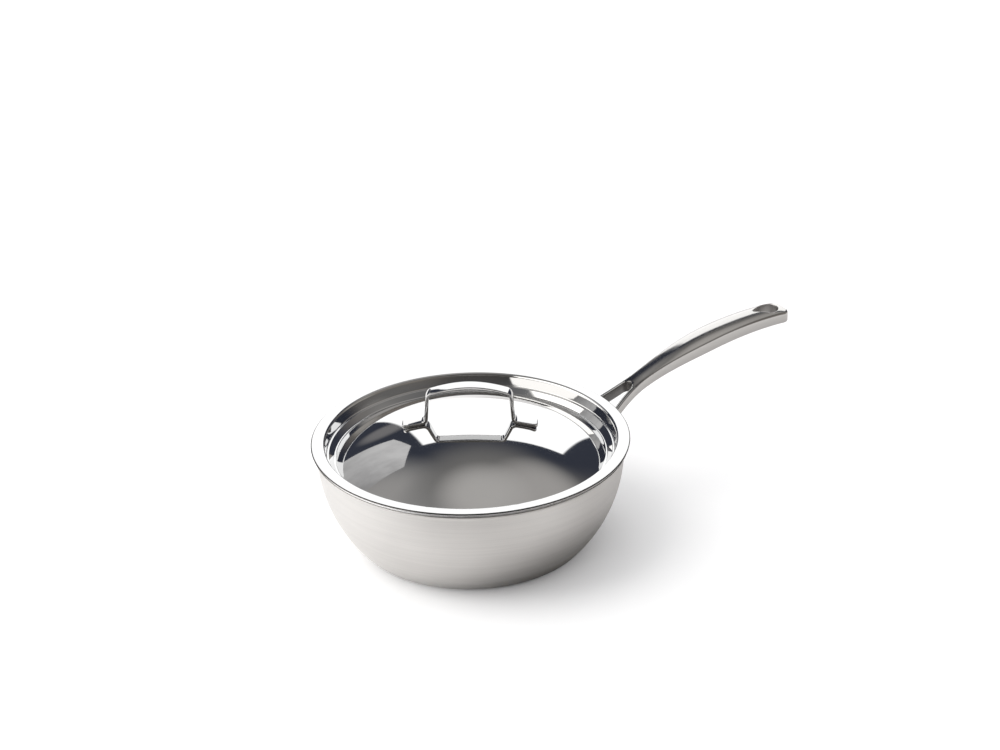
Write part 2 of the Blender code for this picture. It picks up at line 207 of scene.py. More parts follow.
def quarter_turn(parts):
    """The angles that divide a quarter turn."""
    return [math.pi / 2 * step / parts for step in range(parts + 1)]


def rounded(corners, radii, steps):
    """A path through the corners, with each inner corner turned on its own radius."""
    path = [corners[0]]
    for index in range(1, len(corners) - 1):
        here = Vector(corners[index])
        back = Vector(corners[index - 1]) - here
        ahead = Vector(corners[index + 1]) - here
        half = back.angle(ahead) / 2
        reach = radii[index - 1] / math.tan(half)
        reach = min(reach, BEND_SHARE * back.length, BEND_SHARE * ahead.length)
        radius = reach * math.tan(half)
        back.normalize()
        ahead.normalize()
        centre = here + (back + ahead).normalized() * radius / math.sin(half)
        first = here + back * reach - centre
        last = here + ahead * reach - centre
        turn = first.angle_signed(last)
        start = math.atan2(first.y, first.x)
        path.extend(arc(centre, radius, start, start - turn, steps))
    path.append(corners[-1])
    return path


def offset(path, distances):
    """The path moved to its left by a distance for each point, measured square to its sides."""
    moved = []
    for index, point in enumerate(path):
        here = Vector(point)
        normals = []
        if index > 0:
            normals.append((here - Vector(path[index - 1])).normalized())
        if index < len(path) - 1:
            normals.append((Vector(path[index + 1]) - here).normalized())
        normals = [Vector((-along.y, along.x)) for along in normals]
        middle = sum(normals, Vector((0, 0))).normalized()
        distance = distances[index]
        if abs(here.x) < 1e-9:
            moved.append((0.0, here.y + distance / middle.y))
        else:
            moved.append(tuple(here + middle * distance / middle.dot(normals[0])))
    return moved


def sheet_outline(outside, inside, first_edge, last_edge):
    """A closed outline of a sheet from the axis out and back, with its free edge softened."""
    corners = [outside[-2], outside[-1], inside[-1], inside[-2]]
    end = rounded(corners, [first_edge, last_edge], 4)
    return outside[:-2] + end + inside[:-2][::-1]


def turned(name, outline, material, body=None, node=None, steps=TURN_STEPS):
    """A body of revolution about Z from an outline that starts and ends on the axis."""
    bm = bmesh.new()
    rows = []
    for radius, height in outline:
        if radius < 1e-9:
            rows.append([bm.verts.new((0, 0, height))])
            continue
        row = []
        for step in range(steps):
            angle = 2 * math.pi * step / steps
            row.append(bm.verts.new((radius * math.cos(angle), radius * math.sin(angle), height)))
        rows.append(row)
    for row, after in zip(rows, rows[1:]):
        for step in range(steps):
            other = (step + 1) % steps
            if len(row) == 1:
                bm.faces.new((row[0], after[step], after[other]))
            elif len(after) == 1:
                bm.faces.new((row[step], row[other], after[0]))
            else:
                bm.faces.new((row[step], row[other], after[other], after[step]))
    return finish_mesh(name, bm, material, body, node)


def lofted(name, rings, material, body, node):
    """A skin over equal rings of points, closed at both ends."""
    bm = bmesh.new()
    rows = [[bm.verts.new(point) for point in ring] for ring in rings]
    count = len(rows[0])
    for row, after in zip(rows, rows[1:]):
        for index in range(count):
            other = (index + 1) % count
            bm.faces.new((row[index], row[other], after[other], after[index]))
    bm.faces.new(rows[0])
    bm.faces.new(rows[-1])
    return finish_mesh(name, bm, material, body, node)


# Materials: every metal has its own grain, worked out from where the surface lies

NOISE_RANGE = (0.3, 0.7)


def add_node(tree, kind, **settings):
    node = tree.nodes.new(kind)
    for name, value in settings.items():
        setattr(node, name, value)
    return node


def connect(tree, target, source):
    """Feeds a socket from another socket, or sets it to a number or vector."""
    if isinstance(source, bpy.types.NodeSocket):
        tree.links.new(source, target)
    else:
        target.default_value = source


def maths(tree, operation, first, second=0.0, third=None):
    node = add_node(tree, "ShaderNodeMath", operation=operation)
    connect(tree, node.inputs[0], first)
    connect(tree, node.inputs[1], second)
    if third is not None:
        connect(tree, node.inputs[2], third)
    return node.outputs[0]


def times(tree, first, *others):
    """The product of two or more values."""
    for other in others:
        first = maths(tree, "MULTIPLY", first, other)
    return first


def scaled(tree, values, factors):
    """A vector of three values, each times its own factor."""
    node = add_node(tree, "ShaderNodeCombineXYZ")
    for socket, value, factor in zip(node.inputs, values, factors):
        connect(tree, socket, times(tree, value, factor))
    return node.outputs[0]


def noise(tree, vector, scale, detail, roughness):
    node = add_node(tree, "ShaderNodeTexNoise")
    connect(tree, node.inputs["Vector"], vector)
    node.inputs["Scale"].default_value = scale
    node.inputs["Detail"].default_value = detail
    node.inputs["Roughness"].default_value = roughness
    return node.outputs["Fac"]


def ranged(tree, value, places, levels=(0.0, 1.0), **settings):
    """Stretches a value from a range of places onto a range of levels, and holds it there."""
    node = add_node(tree, "ShaderNodeMapRange", **settings)
    connect(tree, node.inputs["Value"], value)
    for name, number in zip(("From Min", "From Max", "To Min", "To Max"), (*places, *levels)):
        node.inputs[name].default_value = number
    return node.outputs["Result"]


def spread(tree, value, low, high):
    """A noise value stretched onto a range of levels."""
    return ranged(tree, value, NOISE_RANGE, (low, high))


def soft_step(tree, value, low, high):
    """0 up to a first place and 1 from a second one on, with a smooth change between them."""
    return ranged(tree, value, (low, high), interpolation_type="SMOOTHSTEP")


def linear(tree, value, places, levels):
    """A level that runs straight between places along a value, and stays the same beyond them."""
    total = ranged(tree, value, places[:2], levels[:2])
    for start, end, first, last in zip(places[1:], places[2:], levels[1:], levels[2:]):
        rise = ranged(tree, value, (start, end), (0.0, last - first))
        total = maths(tree, "ADD", total, rise)
    return total


def tinted(tree, colour, value):
    """A colour made lighter and darker by a value around 1."""
    node = add_node(tree, "ShaderNodeVectorMath", operation="SCALE")
    node.inputs[0].default_value = colour
    connect(tree, node.inputs["Scale"], value)
    return node.outputs[0]


def metal(name):
    """A metallic material with the position on the object, split into its parts."""
    material = bpy.data.materials.new(name)
    material.use_nodes = True
    tree = material.node_tree
    shader = tree.nodes["Principled BSDF"]
    shader.inputs["Metallic"].default_value = 1.0
    place = add_node(tree, "ShaderNodeTexCoord").outputs["Object"]
    split = add_node(tree, "ShaderNodeSeparateXYZ")
    tree.links.new(place, split.inputs[0])
    x, y, z = split.outputs
    radius = maths(tree, "SQRT", maths(tree, "ADD", times(tree, x, x), times(tree, y, y)))
    return material, tree, shader, place, (x, y, z, radius)


def dress(tree, shader, colour, shade, roughness):
    """Gives a metal its colour, made lighter and darker by a shade, and its roughness."""
    tree.links.new(tinted(tree, colour, shade), shader.inputs["Base Color"])
    tree.links.new(roughness, shader.inputs["Roughness"])


def bump(tree, shader, height, strength, distance):
    node = add_node(tree, "ShaderNodeBump")
    node.inputs["Strength"].default_value = strength
    node.inputs["Distance"].default_value = distance
    tree.links.new(height, node.inputs["Height"])
    tree.links.new(node.outputs["Normal"], shader.inputs["Normal"])


def round_brushed(name, colour, roughness, anisotropy, streak_depth, band_depth):
    """Sheet brushed round the axis: fine streaks, soft bands and a drawn-out highlight."""
    material, tree, shader, place, (x, y, z, radius) = metal(name)
    down = maths(tree, "ADD", z, radius)
    finely = scaled(tree, (x, y, down), (9.0, 9.0, 2600.0))
    broadly = scaled(tree, (x, y, down), (9.0, 9.0, 210.0))
    fine = noise(tree, finely, scale=1.0, detail=3.0, roughness=0.6)
    bands = noise(tree, broadly, scale=1.0, detail=2.0, roughness=0.5)
    cloud = noise(tree, place, scale=14.0, detail=2.0, roughness=0.5)
    shade = times(tree, spread(tree, fine, 1 - streak_depth, 1 + streak_depth),
                  spread(tree, bands, 1 - band_depth, 1 + band_depth),
                  spread(tree, cloud, 0.97, 1.03))
    rough = times(tree, spread(tree, fine, roughness - 0.05, roughness + 0.05),
                  spread(tree, bands, 0.94, 1.06))
    dress(tree, shader, colour, shade, rough)
    bump(tree, shader, fine, strength=0.10, distance=0.00002)
    shader.inputs["Anisotropic"].default_value = anisotropy
    shader.inputs["Anisotropic Rotation"].default_value = 0.25
    tangent = add_node(tree, "ShaderNodeTangent", direction_type="RADIAL", axis="Z")
    tree.links.new(tangent.outputs[0], shader.inputs["Tangent"])
    return material


def polished(name, colour, roughness, waver):
    """Mirror polish with faint haze and the slight unevenness that pressing leaves."""
    material, tree, shader, place, _ = metal(name)
    haze = noise(tree, place, scale=38.0, detail=4.0, roughness=0.6)
    wipes = noise(tree, place, scale=900.0, detail=2.0, roughness=0.5)
    dents = noise(tree, place, scale=55.0, detail=1.0, roughness=0.4)
    rough = maths(tree, "ADD", spread(tree, haze, roughness * 0.75, roughness * 1.25),
                  spread(tree, wipes, 0.0, 0.012))
    dress(tree, shader, colour, spread(tree, haze, 0.985, 1.01), rough)
    bump(tree, shader, dents, strength=waver, distance=0.00004)
    return material


def cast(name, colour, roughness):
    """Polished casting with fine lines along it; painted shade darkens it low down and on top of
    the fork, and a painted dark line runs along its upper edges.
    """
    material, tree, shader, place, (x, y, z, _) = metal(name)
    from_crest = maths(tree, "SUBTRACT", x, CREST_X)
    arch = maths(tree, "SUBTRACT", SPINE_RADIUS ** 2, times(tree, from_crest, from_crest))
    edge = maths(tree, "ADD", maths(tree, "SQRT", arch), SPINE_HEIGHT)
    depth = maths(tree, "SUBTRACT", edge, z)
    # Painted shade: the top of the fork is darker near the crotch, on its top surface only.
    fork = maths(tree, "MAXIMUM", linear(tree, x, *FORK_TOP_PAINTED_SHADE),
                 linear(tree, depth, *FORK_TOP_DEPTH))
    # Painted shade: the sides grow darker towards their lower edge, and the underside with them.
    side = linear(tree, depth, *SIDE_PAINTED_SHADE)
    # Painted reflection: a dark line along the rounding of the upper edges.
    crease_shade = linear(tree, depth, *CREASE_PAINTED_SHADE)
    along = scaled(tree, (x, y, z), (14.0, 900.0, 500.0))
    lines = noise(tree, along, scale=1.0, detail=3.0, roughness=0.6)
    skin = noise(tree, place, scale=120.0, detail=3.0, roughness=0.5)
    shade = times(tree, spread(tree, lines, 0.96, 1.03), side, crease_shade, fork)
    rough = maths(tree, "ADD", spread(tree, lines, roughness - 0.03, roughness + 0.03),
                  spread(tree, skin, -0.01, 0.015))
    dress(tree, shader, colour, shade, rough)
    bump(tree, shader, lines, strength=0.12, distance=0.00002)
    return material


def plain_metal(name, colour, roughness, grain, depth):
    """Unpolished metal with a rough skin."""
    material, tree, shader, place, _ = metal(name)
    skin = noise(tree, place, scale=grain, detail=4.0, roughness=0.6)
    rough = spread(tree, skin, roughness - 0.07, roughness + 0.07)
    dress(tree, shader, colour, spread(tree, skin, 0.9, 1.06), rough)
    bump(tree, shader, skin, strength=0.35, distance=depth)
    return material


# Brushed sheets: name, colour, roughness, anisotropy, depth of the streaks and of the bands
BODY_STEEL = round_brushed("brushed_outer_steel", (0.63, 0.62, 0.605), 0.38, 0.65, 0.05, 0.03)
LINING_STEEL = round_brushed("satin_lining_steel", (0.64, 0.63, 0.615), 0.30, 0.5, 0.03, 0.02)

# Polished metals: name, colour, roughness and unevenness
# Cut edges coloured near-black: painted shade in the gap under the lid's flange and along the rim.
CUT_EDGE_PAINTED_SHADE = polished("cut_edge_painted_shade", (0.12, 0.115, 0.11), 0.12, 0.3)
LID_STEEL = polished("polished_lid_steel", (0.72, 0.72, 0.72), 0.035, 0.25)
STRAP_STEEL = polished("polished_strap_steel", (0.70, 0.70, 0.70), 0.06, 0.15)
HANDLE_STEEL = cast("cast_handle_steel", (0.64, 0.63, 0.615), 0.13)

# Plain metals: name, colour, roughness, scale of the grain and its depth
CORE_METAL = plain_metal("core_aluminium", (0.77, 0.77, 0.78), 0.42, 700.0, 0.00003)
# The fork slot's walls: rough cast steel, coloured dark as painted shade between the prongs.
SLOT_WALL_PAINTED_SHADE = plain_metal("slot_wall_painted_shade", (0.24, 0.235, 0.23), 0.42, 500.0, 0.00005)
HOLE_CAST = plain_metal("hole_wall_steel", (0.46, 0.45, 0.44), 0.45, 260.0, 0.00001)
WELD_STEEL = plain_metal("weld_bead_steel", (0.52, 0.51, 0.50), 0.38, 420.0, 0.00008)
NUGGET_STEEL = plain_metal("nugget_steel", (0.55, 0.54, 0.52), 0.4, 420.0, 0.00006)


# Bowl

def bowl_path(depth):
    """A surface at a depth in the bowl's wall, as radius and height, from the axis to the rim."""
    reach = WALL_ARC_RADIUS - CORNER_RADIUS
    drop = FLARE_CENTRE_HEIGHT - CORNER_RADIUS
    corner_centre = (WALL_CENTRE_RADIUS + math.sqrt(reach ** 2 - drop ** 2), CORNER_RADIUS)
    wall_start = -math.asin(drop / reach)
    path = [(radius, 0.0) for radius in BASE_RINGS]
    path += arc(corner_centre, CORNER_RADIUS, -math.pi / 2, wall_start, 10)
    wall_centre = (WALL_CENTRE_RADIUS, FLARE_CENTRE_HEIGHT)
    path += arc(wall_centre, WALL_ARC_RADIUS, wall_start, 0, 24)[1:]
    flare_centre = (FLARE_CENTRE_RADIUS, FLARE_CENTRE_HEIGHT)
    radius = FLARE_RADIUS + depth
    end = math.pi - FLARE_ANGLE + depth * math.tan(RIM_BEVEL) / radius
    return offset(path, [depth] * len(path))[:-1] + arc(flare_centre, radius, math.pi, end, 9)


def paint_cut_edge_shade(sheet, from_radius, least):
    """Gives the faces of a sheet's outer edge, which look outwards, the near-black cut-edge
    material: painted shade under the lid's flange and along the rim.
    """
    sheet.data.materials.append(CUT_EDGE_PAINTED_SHADE)
    for face in sheet.data.polygons:
        outward = face.normal.to_2d().dot(face.center.to_2d().normalized())
        if face.center.to_2d().length > from_radius and outward > least:
            face.material_index = 1


def make_bowl():
    layers = (
        ("bowl_outer", SKIN_THICKNESS, BODY_STEEL, "brushed_outer_steel", "bowl_outer_skin"),
        ("bowl_core", CORE_THICKNESS, CORE_METAL, "core_aluminium", "bowl_aluminium_core"),
        ("bowl_lining", LINING_THICKNESS, LINING_STEEL, "satin_lining_steel", "bowl_inner_lining"),
    )
    depth = 0.0
    for name, thickness, material, slot, node in layers:
        top_edge = RIM_TOP_EDGE if name == "bowl_lining" else SHEET_EDGE
        inside = bowl_path(depth + thickness)
        outline = sheet_outline(bowl_path(depth), inside, SHEET_EDGE, top_edge)
        sheet = turned(name, outline, material, "pan", node)
        paint_cut_edge_shade(sheet, FLARE_CENTRE_RADIUS, 0.55)
        depth += thickness + SEAT_GAP


# Lid

def dome_height(radius):
    """Height of the dome's upper surface at a distance from the axis."""
    centre = DOME_EDGE_HEIGHT + DOME_RISE - DOME_SPHERE_RADIUS
    return centre + math.sqrt(DOME_SPHERE_RADIUS ** 2 - radius ** 2)


def make_lid():
    wall_foot = RECESS_RADIUS - RECESS_TAPER
    ledge = wall_foot - LEDGE_WIDTH
    ledge_height = LID_TOP - RECESS_DEPTH
    dome = []
    for turn in quarter_turn(30):
        radius = (DOME_EDGE_RADIUS - DOME_EDGE_MARGIN) * math.sin(turn)
        dome.append((radius, dome_height(radius)))
    corners = [
        dome[-1],
        (DOME_EDGE_RADIUS, DOME_EDGE_HEIGHT),
        (ledge, ledge_height - LEDGE_DROP),
        (wall_foot, ledge_height),
        (RECESS_RADIUS, LID_TOP),
        (FLANGE_RADIUS, LID_TOP),
    ]
    radii = [DOME_EDGE_PRESS_RADIUS, PRESS_RADIUS, PRESS_RADIUS, FLANGE_BEND_RADIUS]
    upper = dome[:-1] + rounded(corners, radii, 9)
    lower = offset(upper, [-LID_SHEET] * len(upper))
    margin = [(FLANGE_RADIUS - FLANGE_ROLL * (1 - math.sin(turn)),
               LID_TOP - FLANGE_FALL * (1 - math.cos(turn))) for turn in quarter_turn(10)]
    foot = (FLANGE_RADIUS, LID_TOP - LID_SHEET + FLANGE_EDGE_BOTTOM)
    under = (FLANGE_RADIUS - FLANGE_EDGE_BOTTOM, LID_TOP - LID_SHEET)
    outline = upper[:-1] + margin + [foot, under] + lower[:-1][::-1]
    sheet = turned("lid_sheet", outline, LID_STEEL, "lid", "lid_shell")
    paint_cut_edge_shade(sheet, FLANGE_RADIUS - FLANGE_ROLL, 0.3)


# Strap

def strap_path():
    """Middle line of the strap from its right tip to its left one."""
    seat = SEAT_GAP + STRAP_THICKNESS / 2
    leg_foot = BAR_HALF_SPAN + LEG_SPLAY
    heel = leg_foot + FOOT_LENGTH
    tip = heel + FOOT_TIP_LENGTH
    crest = dome_height(0) + STRAP_HEADROOM + BAR_THICKNESS / 2
    bar_end = BAR_HALF_SPAN - STRAP_BEND_RADIUS

    def arch(across):
        return crest - across ** 2 / (2 * BAR_ARCH_RADIUS)

    heel_height = dome_height(heel) + seat
    corners = [
        (tip, heel_height + TIP_RISE_SHOWN - FOOT_TIP_LENGTH * heel / DOME_SPHERE_RADIUS),
        (heel, heel_height),
        (leg_foot, dome_height(leg_foot) + seat),
        (BAR_HALF_SPAN, arch(BAR_HALF_SPAN)),
        (bar_end - STRAP_BEND_RADIUS, arch(bar_end - STRAP_BEND_RADIUS)),
    ]
    half = rounded(corners, [STRAP_BEND_RADIUS] * 3, 10)
    last = half[-1][0]
    steps = 20
    for step in range(1, steps + 1):
        across = last * (1 - step / steps)
        half.append((across, arch(across)))
    return half + [(-across, height) for across, height in half[-2::-1]]


def strap_half_thickness(point):
    """Half the strap's thickness: full in the bar, thinner in legs and feet."""
    return between(BAR_THICKNESS, STRAP_THICKNESS, ease(abs(point[0]) / BAR_HALF_SPAN)) / 2


def strap_frame(across, side, height):
    """A point of the strap turned to its place on the lid."""
    cosine = math.cos(STRAP_TURN)
    sine = math.sin(STRAP_TURN)
    return (across * cosine - side * sine, across * sine + side * cosine, height)


def round_inset(back, radius):
    """How far a quarter round has come in from its side at a distance back from its end."""
    away = max(0.0, radius - back)
    return radius - math.sqrt(radius ** 2 - away ** 2)


def strap_section(half, inset, narrowing):
    """Rounded bar section as side and rise, with an arched top."""
    edge = STRAP_EDGE
    width = STRAP_WIDTH / 2 - max(inset, narrowing)
    low = inset - half
    high = half - inset
    section = arc((edge - width, low + edge), edge, math.pi, 1.5 * math.pi, 4)
    section += arc((width - edge, low + edge), edge, 1.5 * math.pi, 2 * math.pi, 4)
    section += arc((width - edge, high - edge), edge, 0, math.pi / 2, 4)
    for step in range(1, 8):
        share = 1 - 2 * step / 8
        section.append(((width - edge) * share, high + STRAP_CROWN * (1 - share * share)))
    section += arc((edge - width, high - edge), edge, math.pi / 2, math.pi, 4)
    return section


def make_strap():
    path = strap_path()
    halves = [strap_half_thickness(point) for point in path]
    under = offset(path, halves)
    over = offset(path, [-half for half in halves])
    rings = []
    last = len(path) - 1
    for index, (low, high) in enumerate(zip(under, over)):
        middle = (Vector(low) + Vector(high)) / 2
        rise = (Vector(high) - Vector(low)).normalized()
        reach = (Vector(high) - Vector(low)).length / 2
        ends = [TIP_PLAN_ROUND]  # as far back from a tip as its rounding goes
        inward = Vector((0.0, 0.0))
        if index in (0, last):
            inward = Vector(path[1 if index == 0 else last - 1]) - Vector(path[index])
            inward.normalize()
            ends = [TIP_PLAN_ROUND * (1 - math.cos(turn)) for turn in quarter_turn(10)]
            if index == last:
                ends.reverse()
        for back in ends:
            centre = middle + inward * back
            inset = TIP_CLOSING * round_inset(back, TIP_SOFTNESS)
            ring = []
            for side, up in strap_section(reach, inset, round_inset(back, TIP_PLAN_ROUND)):
                point = centre + rise * up
                ring.append(strap_frame(point.x, side, point.y))
            rings.append(ring)
    strap = lofted("strap_bar", rings, STRAP_STEEL, "lid", "lid_strap")
    cut_pockets(strap)


def cut_pockets(strap):
    """Cuts the pockets that the weld nuggets stand in, and keeps the result as the mesh."""
    cutters = []
    for side in (1, -1):
        across = side * (BAR_HALF_SPAN + LEG_SPLAY + FOOT_LENGTH / 2)
        slope = math.asin(across / DOME_SPHERE_RADIUS)
        radius = NUGGET_RADIUS + SEAT_GAP
        top = NUGGET_SINK + 2 * SEAT_GAP
        outline = [(0.0, -SEAT_GAP), (radius, -SEAT_GAP), (radius, top), (0.0, top)]
        pocket = turned("pocket", outline, STRAP_STEEL, steps=32)
        place = Matrix.Translation(strap_frame(across, 0.0, dome_height(abs(across))))
        pocket.data.transform(place @ Euler((0.0, slope, STRAP_TURN)).to_matrix().to_4x4())
        boolean = strap.modifiers.new("pocket", "BOOLEAN")
        boolean.solver = "EXACT"
        boolean.object = pocket
        cutters.append(pocket)
    depsgraph = bpy.context.evaluated_depsgraph_get()
    mesh = bpy.data.meshes.new_from_object(strap.evaluated_get(depsgraph))
    strap.modifiers.clear()
    strap.data = mesh
    mesh.shade_smooth()
    mesh.set_sharp_from_angle(angle=SHARP_ANGLE)
    for pocket in cutters:
        bpy.data.objects.remove(pocket)


# Long handle

def edge_height(x):
    """Height of the handle's upper edges."""
    return SPINE_HEIGHT + math.sqrt(SPINE_RADIUS ** 2 - (x - CREST_X) ** 2)


def half_width(x):
    """Half the handle's width without the rounding of its tip."""
    if x < WAIST_X:
        share = (WAIST_X - x) / FORK_SPREAD_LENGTH
        return between(WAIST_HALF_WIDTH, FORK_HALF_SPREAD, share ** FORK_CURVE)
    if x < GRIP_X:
        return between(WAIST_HALF_WIDTH, GRIP_HALF_WIDTH, ease((x - WAIST_X) / (GRIP_X - WAIST_X)))
    return between(GRIP_HALF_WIDTH, TIP_HALF_WIDTH, ease((x - GRIP_X) / (HANDLE_TIP_X - GRIP_X)))


def top_height(x, y):
    """Height of the arched top."""
    rising = ease((x - CROTCH_X) / (GRIP_X - CROTCH_X))
    falling = ease((HANDLE_TIP_X - x) / HOLE_TO_TIP)
    crown = between(END_CROWN, GRIP_CROWN, min(rising, falling))
    inner = half_width(x) - UPPER_EDGE_ROUND
    return edge_height(x) + crown * (1 - (y / inner) ** 2)


def floor_height(x, _=0.0):
    """Height of the flat underside."""
    share = ease((x - CROTCH_X) / (GRIP_X - CROTCH_X))
    return edge_height(x) - between(FORK_DEPTH, GRIP_DEPTH, share)


def upper_edge_round(x):
    """Radius of the handle's upper edges, which soften towards the tip."""
    return between(UPPER_EDGE_ROUND, END_EDGE_ROUND, ease((x - GRIP_X) / (HOLE_X - GRIP_X)))


def slopes(surface, x, y):
    step = 0.00005
    return ((surface(x + step, y) - surface(x - step, y)) / (2 * step),
            (surface(x, y + step) - surface(x, y - step)) / (2 * step))


def divided(first, last, parts=8):
    """The points that divide the line between two others."""
    return [(between(first[0], last[0], step / parts), between(first[1], last[1], step / parts))
            for step in range(1, parts)]


def handle_outline():
    """Plan of the handle, anticlockwise, and the place in it where the fork's open slot starts."""
    foot = FOOT_X + 4 * SEAT_GAP
    side = []
    steps = 150
    straight = HANDLE_TIP_X - TIP_ROUND
    for step in range(steps):
        x = between(foot, straight, step / steps)
        if step == 0:
            x = math.sqrt(foot ** 2 - half_width(foot) ** 2)
        side.append((x, half_width(x)))
    for turn in quarter_turn(12):
        x = straight + TIP_ROUND * math.sin(turn)
        side.append((x, half_width(x) - TIP_ROUND + TIP_ROUND * math.cos(turn)))
    other_side = [(x, -y) for x, y in side]
    outside = other_side + divided(other_side[-1], side[-1]) + side[::-1]
    turn_x = CROTCH_X - CROTCH_ROUND
    inner = []
    steps = 24
    for step in range(steps):
        x = between(foot, turn_x, step / steps)
        if step == 0:
            inside = half_width(foot) - PRONG_THICKNESS
            x = math.sqrt(foot ** 2 - inside ** 2)
        inner.append((x, half_width(x) - PRONG_THICKNESS))
    gap = half_width(turn_x) - PRONG_THICKNESS
    for turn in quarter_turn(16)[:-1]:
        inner.append((turn_x + CROTCH_ROUND * math.sin(turn), gap * math.cos(turn)))
    slot = inner + [(CROTCH_X, 0.0)] + [(x, -y) for x, y in inner[::-1]]
    return outside + slot, len(outside)


def hole_outline():
    """Plan of the hanging hole, clockwise."""
    reach = HOLE_LENGTH - HOLE_RADIUS - HOLE_NARROW_RADIUS
    lean = math.acos((HOLE_RADIUS - HOLE_NARROW_RADIUS) / reach)
    wide = arc((HOLE_X, 0.0), HOLE_RADIUS, lean - math.pi, math.pi - lean, 44)
    narrow = arc((HOLE_X - reach, 0.0), HOLE_NARROW_RADIUS, math.pi - lean, math.pi + lean, 14)
    loop = wide + divided(wide[-1], narrow[0]) + narrow + divided(narrow[-1], wide[0])
    return loop[::-1]


def loop_normals(loop):
    """For each point, the plan direction out of the metal and the stretch of an even offset."""
    normals = []
    count = len(loop)
    for index in range(count):
        here = Vector(loop[index])
        along_in = (here - Vector(loop[index - 1])).normalized()
        along_out = (Vector(loop[(index + 1) % count]) - here).normalized()
        first = Vector((along_in.y, -along_in.x))
        last = Vector((along_out.y, -along_out.x))
        middle = (first + last).normalized()
        normals.append((middle, 1 / max(0.5, middle.dot(first))))
    return normals


def inside_loop(point, loop):
    x, y = point
    inside = False
    for (x0, y0), (x1, y1) in zip(loop, loop[1:] + loop[:1]):
        if (y0 > y) != (y1 > y) and x < (x1 - x0) * (y - y0) / (y1 - y0) + x0:
            inside = not inside
    return inside


def edge_rows(loop, surface, radii, upward):
    """Rows of points from a vertical wall round onto a surface, with their normals."""
    rows = [[] for _ in range(EDGE_STEPS + 1)]
    for (point, (normal, stretch)), radius in zip(zip(loop, loop_normals(loop)), radii):
        end = Vector(point) - normal * radius * 0.5
        slope_x, slope_y = slopes(surface, *end)
        fall = -(slope_x * normal.x + slope_y * normal.y) * upward
        last_turn = math.pi / 2 - math.atan(fall)
        inset = radius * (1 - math.cos(last_turn))
        landing = Vector(point) - normal * stretch * inset
        landing_height = surface(*landing)
        for step in range(EDGE_STEPS + 1):
            turn = last_turn * step / EDGE_STEPS
            place = Vector(point) - normal * stretch * radius * (1 - math.cos(turn))
            height = landing_height - upward * radius * (math.sin(last_turn) - math.sin(turn))
            direction = (*(normal * math.cos(turn)), upward * math.sin(turn))
            rows[step].append(((place.x, place.y, height), direction))
    return rows


def in_metal(place, limits):
    outer, hole = limits
    return inside_loop(place, outer) and not inside_loop(place, hole)


def fill(points, normals, rims, surface, upward):
    """Adds points on a surface inside its rims, and gives the triangles that join them all."""
    index_of = [number for rim in rims for number in rim]
    plan = [points[number][:2] for number in index_of]
    borders = []
    limits = []
    start = 0
    for rim in rims:
        count = len(rim)
        borders += [(start + index, start + (index + 1) % count) for index in range(count)]
        limits.append(plan[start:start + count])
        start += count
    edge = [Vector(place) for place in plan]
    spacing = HANDLE_TOP_SPACING if upward > 0 else HANDLE_UNDER_SPACING
    for row in range(int(HANDLE_LENGTH / spacing)):
        x = FOOT_X + (row + 0.5) * spacing
        width = half_width(x)
        count = max(3, int(2 * width / spacing))
        for column in range(1, count):
            y = between(-width, width, column / count)
            if not in_metal((x, y), limits):
                continue
            nearest = min((Vector((x, y)) - place).length_squared for place in edge)
            if nearest < (HANDLE_EDGE_SHARE * spacing) ** 2:
                continue
            plan.append((x, y))
            index_of.append(len(points))
            points.append((x, y, surface(x, y)))
            slope_x, slope_y = slopes(surface, x, y)
            normals.append(tuple(Vector((-slope_x, -slope_y, 1)).normalized() * upward))
    result = delaunay_2d_cdt([Vector(place) for place in plan], borders, [], 1, 1e-9)
    faces = []
    for face in result[2]:
        sources = [result[3][vertex][0] for vertex in face]
        corners = [plan[source] for source in sources]
        if in_metal((sum(x for x, _ in corners) / 3, sum(y for _, y in corners) / 3), limits):
            numbers = [index_of[source] for source in sources]
            faces.append(numbers if upward > 0 else numbers[::-1])
    return faces


